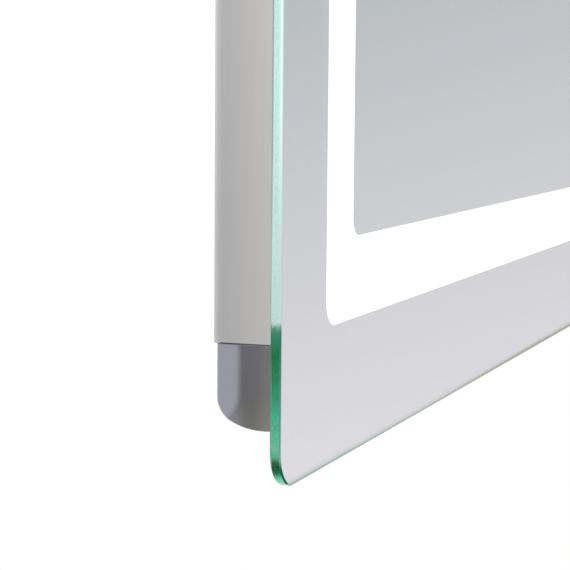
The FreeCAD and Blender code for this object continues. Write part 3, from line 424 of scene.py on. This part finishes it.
def rim_outside(tree, level, sideways, beside_band, lip):
    """The polished rim from outside: tinted glass, whose tint paints light and shade by place, the
    painted light that leaks out of it near the front beside the band, and painted light and shadow
    over it further down."""
    straight = tree.math("MAXIMUM", tree.span(sideways, *STRAIGHT_SIDE), tree.span(sideways, *STRAIGHT_TOP))
    # The tint paints light and shade: lower down, on the round corners and in the shadow on each corner
    tint = tree.blend(tree.span(level, *RIM_LOW_SPAN), RIM_TINT, RIM_LOW_TINT)
    tint = tree.blend(straight, CORNER_TINT, tint)
    tint = tree.blend(tree.hill(level, *SHADOW_TINT_HILL), tint, SHADOW_TINT)
    rim = tree.principled(tint, RIM_ROUGH, Transmission_Weight=1.0, IOR=GLASS_IOR,
                          Specular_IOR_Level=RIM_SHINE)

    y = tree.axis("Y")
    # Painted light: the band's light leaking out of the shoulder and the lip
    shoulder = tree.blend(tree.span(level, *SHOULDER_TURN), SHOULDER_ABOVE, SHOULDER_BELOW)
    shoulder = tree.blend(tree.span(y, *LIP_DEPTH), shoulder, lip)
    lit_side = tree.times(beside_band, tree.span(sideways, *LEAK_SIDE))
    leak = tree.times(tree.span(y, *LEAK_DEPTH), lit_side)
    rim = tree.mix(leak, rim, tree.emission(shoulder))
    # Painted light and painted shadow over the rim, in emitted colours
    for colour, share, hill in ((VEIL, VEIL_SHARE, VEIL_HILL), (STRAY, STRAY_SHARE, STRAY_HILL),
                                (SHADOW, SHADOW_SHARE, SHADOW_HILL)):
        rim = tree.mix(tree.times(tree.hill(level, *hill), share), rim, tree.emission(colour))
    return rim


def rim_within(tree, sideways):
    """The polished rim from within the glass: a painted glow for the light caught in it, a little uneven.
    """
    glow_grain = tree.spread(tree.noise(scale=2500.0, detail=2.0), *GLOW_GRAIN_SPREAD)
    glow = tree.times(glow_grain, tree.span(sideways, 0.0, 1.0, 1.0, 1 - SIDE_DIM))
    return tree.emission(EDGE_GLOW, glow)


def arris_outside(tree, level, sideways, beside_band, lip):
    """The ground arrises from outside, all in emitted colours that paint their light and shade: bright
    beside the lit band, where light leaks out of the front ones, dark green past its end, in painted
    shadow on the corners, and a painted grey along the top and bottom."""
    y = tree.axis("Y")
    front = tree.under(y, GLASS_MIDDLE_Y)
    lit_front = tree.blend(tree.under(y, LIP_EDGE_Y), lip, LIP_EDGE)
    lit_rear = tree.blend(tree.span(level, *REAR_TURN), REAR_ABOVE, REAR_BELOW)
    lit = tree.blend(front, lit_rear, lit_front)

    lower = tree.span(level, *UNLIT_TURN)
    dark_front = tree.blend(lower, UNLIT_ABOVE, UNLIT_BELOW)
    dark_rear = tree.blend(lower, UNLIT_REAR_ABOVE, UNLIT_REAR_BELOW)
    dark = tree.blend(front, dark_rear, dark_front)
    # Painted shadow on the corners
    dark = tree.blend(tree.span(level, *ARRIS_CORNER_SPAN), dark, ARRIS_CORNER_SHADOW)
    dark = tree.blend(tree.under(y, UNLIT_LIP_Y), dark, UNLIT_LIP)
    side = tree.blend(beside_band, dark, lit)
    # Painted grey on the top and bottom arrises, painted light and shade on the sides
    return tree.emission(tree.blend(tree.above(sideways, SIDE_LEAN), ARRIS_TOP_BOTTOM_PAINTED, side))


def arris_within(tree):
    """The arrises from within the glass, in emitted colours that paint their light and shade: the front
    ones pale, the rear ones in painted shadow and warmer towards the middle of the glass."""
    rear = tree.blend(off_corners(tree), WITHIN_REAR, far_end(tree, WITHIN_WARM))
    front = tree.under(tree.axis("Y"), GLASS_MIDDLE_Y)
    return tree.emission(tree.blend(front, rear, far_end(tree, WITHIN_FRONT)))


def off_corners(tree):
    """How far along the top and bottom edges a place is from the corners' cooler light, 0 to 1."""
    return tree.hill(tree.axis("X"), *WARM_HILL)


def far_end(tree, near):
    """A colour of the edges seen through the glass, with painted shade that darkens it towards the right
    end.
    """
    return tree.blend(tree.span(tree.axis("X"), *FAR_SPAN), near, WITHIN_FAR)


def band_light(tree):
    """The etched band's light: white through the glass's front, whose reflection shows only a faint
    second image of it, and tinted along the glass, where the uprights dim towards their ends."""
    path = tree.add("ShaderNodeLightPath")
    through_front = tree.under(path.outputs["Ray Length"], THROUGH_FRONT)
    reflected = tree.above(path.outputs["Ray Depth"], REFLECTED_DEPTH)
    second = tree.span(tree.times(through_front, reflected), 0.0, 1.0, 1.0, SECOND_IMAGE)
    upright = tree.span(tree.math("ABSOLUTE", tree.axis("X")), *UPRIGHT_SPAN)
    dim = tree.times(upright, tree.span(tree.level(), *BAND_DIM_SPAN, 0.0, BAND_DIM))
    dim = tree.times(dim, tree.math("SUBTRACT", 1.0, through_front))
    colour = tree.blend(through_front, BAND_GLOW, BAND_WHITE)
    return tree.emission(colour, tree.math("SUBTRACT", second, dim))


def silver(tree):
    """The silvering as it is seen through the glass."""
    return tree.principled(SILVER, 0.0, metallic=1.0)


def glass_side(tree, seen, body):
    """A coat on the glass: one look through the glass, another from behind, clear from within."""
    geometry = tree.add("ShaderNodeNewGeometry")
    lean = tree.math("ABSOLUTE", tree.axis("Y", geometry.outputs["True Normal"]))
    at_glass = tree.under(tree.axis("Y"), GLASS_HIGH.y + ON_PLANE)
    on_glass = tree.times(at_glass, tree.above(lean, FACE_LEAN))
    return tree.mix(on_glass, body, tree.mix(geometry.outputs["Backfacing"], seen, tree.transparent()))


def backing_paint():
    """The silvering, with the grey protective paint on its back."""
    tree = material_tree("silver_and_backing_paint")
    shade = tree.blend(tree.noise(scale=14.0), srgb(150, 156, 158), srgb(164, 169, 170))
    speck = tree.noise(scale=900.0, detail=2.0)
    relief = tree.bump(speck, strength=0.15, distance=0.0001)
    paint = tree.principled(shade, tree.spread(speck, 0.38, 0.5), normal=relief)
    return tree.surface(glass_side(tree, silver(tree), paint))


def lit_frost():
    """The etched window: bright through the glass, white from the lamps' side."""
    tree = material_tree("etched_window")
    grain = tree.noise(scale=1800.0, detail=2.0)
    frost = tree.principled(srgb(246, 247, 247), tree.spread(grain, 0.5, 0.65),
                            Emission_Color=WHITE, Emission_Strength=0.6)
    return tree.surface(glass_side(tree, band_light(tree), frost))


def channel_metal():
    """Satin anodised profile: fine draw lines along Z, painted light that makes it paler and warmer
    towards the glass, a painted highlight on the rear edge and painted shadow at the seam."""
    tree = material_tree("anodised_profile")
    lines = tree.noise(scale=260.0, detail=4.0, rough=0.6, stretch=(1.0, 1.0, 0.004))
    y = tree.axis("Y")
    # Painted light towards the glass, and a painted highlight on the rear edge
    shade = tree.blend(tree.span(y, *CHANNEL_GLASS_LIGHT_Y), srgb(178, 178, 179), srgb(198, 196, 193))
    shade = tree.blend(tree.span(y, *CHANNEL_REAR_HIGHLIGHT_Y), shade, srgb(201, 201, 201))
    shade = tree.blend(tree.spread(lines, 0.0, 0.25), shade, srgb(178, 178, 177))
    # Painted shadow in the seam at the channel's end
    dark = tree.times(tree.above(tree.level(), CHANNEL_SHADOW_LEVEL), tree.under(y, CHANNEL_SHADOW_Y))
    shade = tree.blend(dark, shade, srgb(60, 60, 62))
    rough = tree.spread(lines, 0.36, 0.46)
    relief = tree.bump(lines, strength=0.1, distance=0.0002)
    return tree.surface(tree.principled(shade, rough, metallic=0.15, normal=relief))


def cap_plastic():
    """The caps' grey moulding, with painted light and shade: bluish painted light on the slanted side,
    less of it on the rear edge, painted shade where the slant ends, painted light on the flat one
    towards the glass, warmer painted light and shade on the round end, and the plug in the channel in
    painted shadow."""
    tree = material_tree("cap_plastic")
    grain = tree.noise(scale=1500.0, rough=0.6)
    slow = tree.noise(scale=22.0, detail=1.0)
    level = tree.level()
    y = tree.axis("Y")
    slant_end = tree.span(y, *CAP_SLANT_END_Y)
    # Bluish painted light on the slanted side, less of it on the rear edge, painted shade where it ends
    shade = tree.blend(tree.spread(slow, 0.0, 1.0), srgb(150, 151, 161), srgb(155, 156, 166))
    shade = tree.blend(tree.span(y, *CAP_REAR_Y), shade, srgb(143, 143, 144))
    shade = tree.blend(slant_end, shade, srgb(141, 141, 149))
    # Painted light on the flat side towards the glass
    flat = tree.blend(tree.span(y, *CAP_FLAT_PALE_Y), srgb(157, 156, 160), srgb(172, 168, 174))
    shade = tree.blend(tree.span(y, *CAP_FLAT_Y), shade, flat)
    # Painted light and shade on the round ends
    warm = tree.blend(tree.span(y, *CAP_ROUND_PALE_Y), srgb(130, 131, 125), srgb(176, 171, 169))
    shade = tree.blend(tree.times(slant_end, tree.span(level, *CAP_ROUND_SPAN)), shade, warm)
    # Painted shadow on the plug inside the channel
    shade = tree.blend(tree.under(level, PLUG_LEVEL), shade, srgb(30, 30, 31))
    relief = tree.bump(grain, strength=0.12, distance=0.0001)
    return tree.surface(tree.principled(shade, tree.spread(grain, 0.37, 0.48), normal=relief))


def moulding(name, light, dark, grain_scale, rough):
    """Moulded plastic with a fine spark-eroded grain."""
    tree = material_tree(name)
    grain = tree.noise(scale=grain_scale, rough=0.6)
    slow = tree.noise(scale=22.0, detail=1.0)
    shade = tree.blend(tree.spread(slow, 0.0, 1.0), dark, light)
    roughness = tree.spread(grain, rough - 0.05, rough + 0.06)
    relief = tree.bump(grain, strength=0.12, distance=0.0001)
    return tree.surface(tree.principled(shade, roughness, normal=relief))


def powder_coat():
    """White powder coat with its orange peel."""
    tree = material_tree("white_powder_coat")
    peel = tree.noise(scale=420.0, detail=2.0, rough=0.4)
    slow = tree.noise(scale=5.0, detail=2.0)
    shade = tree.blend(slow, srgb(222, 222, 220), srgb(230, 230, 228))
    relief = tree.bump(peel, strength=0.25, distance=0.0003)
    return tree.surface(tree.principled(shade, tree.spread(peel, 0.3, 0.42), normal=relief))


def galvanised():
    """Zinc-coated strip with a small spangle and rolling lines."""
    tree = material_tree("galvanised_strip")
    spangle = tree.axis("X", tree.cells(scale=140.0))
    lines = tree.noise(scale=300.0, rough=0.6, stretch=(0.01, 1.0, 1.0))
    shade = tree.blend(spangle, srgb(172, 175, 178), srgb(196, 199, 201))
    rough = tree.math("ADD", tree.span(spangle, 0.0, 1.0, 0.26, 0.38), tree.spread(lines, -0.03, 0.05))
    relief = tree.bump(lines, strength=0.08, distance=0.0001)
    return tree.surface(tree.principled(shade, rough, metallic=0.85, normal=relief))


def plated(name, light, dark, rough):
    """Turned or plated small metal parts with faint tool marks."""
    tree = material_tree(name)
    marks = tree.noise(scale=1400.0, rough=0.6)
    roughness = tree.spread(marks, rough - 0.05, rough + 0.08)
    relief = tree.bump(marks, strength=0.1, distance=0.0001)
    return tree.surface(tree.principled(tree.blend(marks, dark, light), roughness, metallic=0.95,
                                        normal=relief))


def foam():
    """Closed-cell foam tape."""
    tree = material_tree("foam_tape")
    pores = tree.cells(scale=1600.0, output="Distance")
    shade = tree.blend(pores, srgb(232, 231, 228), srgb(206, 205, 201))
    relief = tree.bump(pores, strength=0.5, distance=0.0003)
    return tree.surface(tree.principled(shade, 0.85, normal=relief))


def opal():
    """Opal acrylic, glowing a little with the lamps' light."""
    tree = material_tree("opal_acrylic")
    cloud = tree.noise(scale=60.0, detail=2.0)
    shade = tree.blend(cloud, srgb(240, 240, 238), srgb(246, 246, 245))
    return tree.surface(tree.principled(shade, tree.spread(cloud, 0.28, 0.36),
                                        Emission_Color=(1, 1, 0.98, 1), Emission_Strength=0.5))


def insulation(name, colour, stripe=None):
    """Smooth lead insulation, with a second colour along it where the lead has one."""
    tree = material_tree(name)
    grain = tree.noise(scale=700.0, detail=2.0)
    shade = tree.blend(tree.spread(grain, 0.0, 0.2), colour, srgb(128, 128, 128))
    if stripe:
        shade = tree.blend(tree.above(tree.waves("Z", rate=3600.0), 0.0), shade, stripe)
    return tree.surface(tree.principled(shade, tree.spread(grain, 0.3, 0.4)))


def circuit_board():
    """Green solder mask with paler tracks."""
    tree = material_tree("circuit_board")
    columns = tree.above(tree.waves("X", rate=1250.0), 0.55)
    patches = tree.above(tree.noise(scale=90.0, detail=1.0), 0.5)
    tracks = tree.times(columns, patches)
    shade = tree.blend(tracks, srgb(26, 92, 52), srgb(52, 128, 74))
    relief = tree.bump(tracks, strength=0.3, distance=0.0001)
    return tree.surface(tree.principled(shade, 0.34, normal=relief))


def components():
    """Dark encapsulated parts, some of them yellow."""
    tree = material_tree("board_components")
    yellow = tree.above(tree.axis("X", tree.cells(scale=70.0)), 0.6)
    shade = tree.blend(yellow, srgb(38, 38, 42), srgb(196, 170, 60))
    grain = tree.noise(scale=600.0, detail=2.0)
    return tree.surface(tree.principled(shade, tree.spread(grain, 0.4, 0.55)))


def led_tape():
    """White flexible circuit with copper pads between the lamps."""
    tree = material_tree("led_tape")
    pads = tree.cells(scale=120.0, output="Distance")
    shade = tree.blend(tree.under(pads, 0.18), srgb(238, 238, 234), srgb(196, 140, 92))
    relief = tree.bump(pads, strength=0.1, distance=0.0001)
    return tree.surface(tree.principled(shade, 0.45, normal=relief))


def led_chip():
    """White package with a yellow phosphor, lit."""
    tree = material_tree("led_chip")
    front = tree.under(tree.axis("Y"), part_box("led_chips_left")[0].y + ON_PLANE)
    shade = tree.blend(front, srgb(240, 240, 236), srgb(240, 214, 120))
    return tree.surface(tree.principled(shade, 0.4, Emission_Color=(1, 0.96, 0.85, 1),
                                        Emission_Strength=1.5))


def rubber(name, colour, rough):
    """Matt rubber, slightly mottled."""
    tree = material_tree(name)
    grain = tree.noise(scale=900.0)
    shade = tree.blend(tree.spread(grain, 0.0, 0.15), colour, srgb(150, 150, 150))
    roughness = tree.spread(grain, rough - 0.05, rough + 0.1)
    relief = tree.bump(grain, strength=0.2, distance=0.0001)
    return tree.surface(tree.principled(shade, roughness, normal=relief))


def finishes():
    """The finish of each material slot in the record."""
    return {
        "glass": glass(),
        "silvering": backing_paint(),
        "lit_band": lit_frost(),
        "foam_tape": foam(),
        "channel_metal": channel_metal(),
        "cap_plastic": cap_plastic(),
        "zinc_screw": plated("zinc_plate", srgb(205, 207, 210), srgb(178, 181, 185), rough=0.3),
        "rivet_aluminium": plated("rivet_aluminium", srgb(208, 208, 209), srgb(186, 186, 188), rough=0.35),
        "tray_steel": powder_coat(),
        "opal_acrylic": opal(),
        "led_tape": led_tape(),
        "led_chip": led_chip(),
        "white_lead": insulation("white_lead", srgb(236, 236, 232)),
        "grey_lead": insulation("grey_lead", srgb(160, 160, 162)),
        "earth_lead": insulation("earth_lead", srgb(72, 150, 60), stripe=srgb(232, 214, 60)),
        "white_plastic": moulding("white_plastic", srgb(236, 236, 232), srgb(228, 228, 224),
                                  grain_scale=1100.0, rough=0.4),
        "circuit_board": circuit_board(),
        "electronics": components(),
        "box_plastic": moulding("box_plastic", srgb(214, 214, 210), srgb(204, 204, 200),
                                grain_scale=1100.0, rough=0.42),
        "terminal_nylon": moulding("terminal_nylon", srgb(240, 238, 228), srgb(232, 229, 217),
                                   grain_scale=1300.0, rough=0.45),
        "brass": plated("brass_screw", srgb(214, 182, 112), srgb(188, 152, 84), rough=0.3),
        "black_rubber": rubber("black_rubber", srgb(34, 34, 35), rough=0.6),
        "rail_steel": galvanised(),
        "bumper_rubber": rubber("bumper_rubber", srgb(92, 93, 96), rough=0.65),
    }


def dress_nodes():
    """Give every CAD node its slot's finish."""
    made = finishes()
    for row in frame["record"]["subparts"]:
        mesh = frame["nodes"][row["node"]].data
        mesh.materials.clear()
        mesh.materials.append(made[row["material_slot"]])


def studio_shade(tree):
    """What mirrors and glass see: paler below the horizon than above it and towards the sides, and
    grey behind the wall."""
    direction = tree.coordinates["Generated"]
    y = tree.axis("Y", direction)
    turned = tree.math("MULTIPLY_ADD", y, -SHADE_TURN, tree.axis("Z", direction))
    shade = tree.blend(tree.span(turned, *SHADE_SPAN), SHADE_LOW, SHADE_HIGH)
    return tree.blend(tree.span(y, *SHADE_REAR_SPAN), shade, SHADE_REAR)


def world():
    """White to the camera, a soft grey studio to mirrors and glass, and even fill light."""
    tree = Tree(bpy.data.worlds.new("studio"), "ShaderNodeOutputWorld")
    path = tree.add("ShaderNodeLightPath").outputs
    mirrored = tree.math("MAXIMUM", path["Is Glossy Ray"], path["Is Transmission Ray"])
    fill = tree.background(FILL_COLOUR, FILL_STRENGTH)
    light = tree.mix(mirrored, fill, tree.background(studio_shade(tree)))
    bpy.context.scene.world = tree.surface(tree.mix(path["Is Camera Ray"], light, tree.background(WHITE)))


def floor():
    """Pale round floor, white to the camera and keeping a trace of the shadow."""
    bpy.ops.mesh.primitive_circle_add(vertices=FLOOR_SIDES, radius=FLOOR_R, fill_type="NGON",
                                      location=(0, 0, FLOOR_Z))
    made = bpy.context.object
    made.name = "floor"
    tree = material_tree("pale_floor")
    path = tree.add("ShaderNodeLightPath").outputs
    seen = tree.math("MAXIMUM", path["Is Camera Ray"], path["Is Glossy Ray"])
    seen = tree.math("MAXIMUM", seen, path["Is Transmission Ray"])
    shade = tree.blend(tree.noise(scale=30.0), srgb(238, 238, 238), srgb(244, 244, 244))
    white = tree.times(seen, FLOOR_WHITE)
    shader = tree.mix(white, tree.principled(shade, 0.8), tree.emission(WHITE))
    made.data.materials.append(tree.surface(shader))


def lamp(name, place, target, size, watts, colour=(1, 1, 1), only=(), spared=()):
    """A soft rectangular lamp. It can light some nodes only, or all but some."""
    data = bpy.data.lights.new(name, "AREA")
    data.shape = "RECTANGLE"
    data.size, data.size_y = size
    data.energy = watts
    data.color = colour
    made = bpy.data.objects.new(name, data)
    bpy.context.collection.objects.link(made)
    made.location = place
    made.rotation_mode = "QUATERNION"
    made.rotation_quaternion = (Vector(target) - Vector(place)).to_track_quat("-Z", "Y")
    made.visible_camera = False
    made.visible_glossy = False
    made.visible_transmission = False
    if only or spared:
        linked = bpy.data.collections.new(name + "_receivers")
        for node in (*only, *spared):
            linked.objects.link(frame["nodes"][node])
        for entry in linked.collection_objects:
            entry.light_linking.link_state = "EXCLUDE" if spared else "INCLUDE"
        made.light_linking.receiver_collection = linked


def lights():
    """A lamp for each channel and each cap, which light nothing else, and the rest of the light."""
    flanks = []
    for side, sign in (("left", -1), ("right", 1)):
        channel = "side_channel_" + side
        flanks.append(channel)
        lamp("strip_" + side, place=(sign * STRIP_X, STRIP_Y, STRIP_Z),
             target=(sign * FLANK_X, 0.0, STRIP_TARGET_Z), size=(0.6, 0.8), watts=23.4,
             colour=(1.0, 0.995, 0.985), only=[channel])
        for end, z in (("bottom", BOTTOM_CAP_Z), ("top", TOP_CAP_Z)):
            cap = "end_cap_" + end + "_" + side
            flanks.append(cap)
            lamp("cap_" + end + "_" + side, place=(sign * CAP_LAMP_X, CAP_LAMP_Y, z),
                 target=(sign * FLANK_X, 0.0, z), size=(0.6, 0.6), watts=22, only=[cap])
    lamp("rear", place=(0.0, 3.0, 0.8), target=MIRROR_MIDDLE, size=(3.0, 2.0), watts=40, spared=flanks)
    lamp("fill_front", place=(0.4, -3.2, 0.9), target=MIRROR_MIDDLE, size=(2.5, 2.0), watts=8,
         colour=(0.97, 0.98, 1.0))
    lamp("top", place=(0.3, -0.2, 2.6), target=MIRROR_MIDDLE, size=(2.2, 2.2), watts=15)


def camera():
    """The photograph's camera: its axes follow from yaw, pitch and roll."""
    data = bpy.data.cameras.new("camera")
    data.sensor_width = SENSOR_MM
    data.lens = CAMERA_LENS_MM
    data.clip_start, data.clip_end = CAMERA_CLIP
    forward = Vector((math.sin(CAMERA_YAW) * math.cos(CAMERA_PITCH),
                      math.cos(CAMERA_YAW) * math.cos(CAMERA_PITCH), math.sin(CAMERA_PITCH)))
    right = Vector((math.cos(CAMERA_YAW), -math.sin(CAMERA_YAW), 0.0))
    down = -right.cross(forward)
    across = right * math.cos(CAMERA_ROLL) + down * math.sin(CAMERA_ROLL)
    lower = down * math.cos(CAMERA_ROLL) - right * math.sin(CAMERA_ROLL)
    made = bpy.data.objects.new("camera", data)
    bpy.context.collection.objects.link(made)
    turn = Matrix((across, -lower, -forward)).transposed()
    made.matrix_world = Matrix.Translation(CAMERA_AT) @ turn.to_4x4()
    bpy.context.scene.camera = made


def light_paths():
    cycles = bpy.context.scene.cycles
    cycles.max_bounces = BOUNCES
    cycles.glossy_bounces = BOUNCES
    cycles.transmission_bounces = BOUNCES
    cycles.transparent_max_bounces = CLEAR_BOUNCES


camera()
world()
floor()
lights()
light_paths()
dress_nodes()
bpy.context.scene.view_settings.view_transform = "Standard"
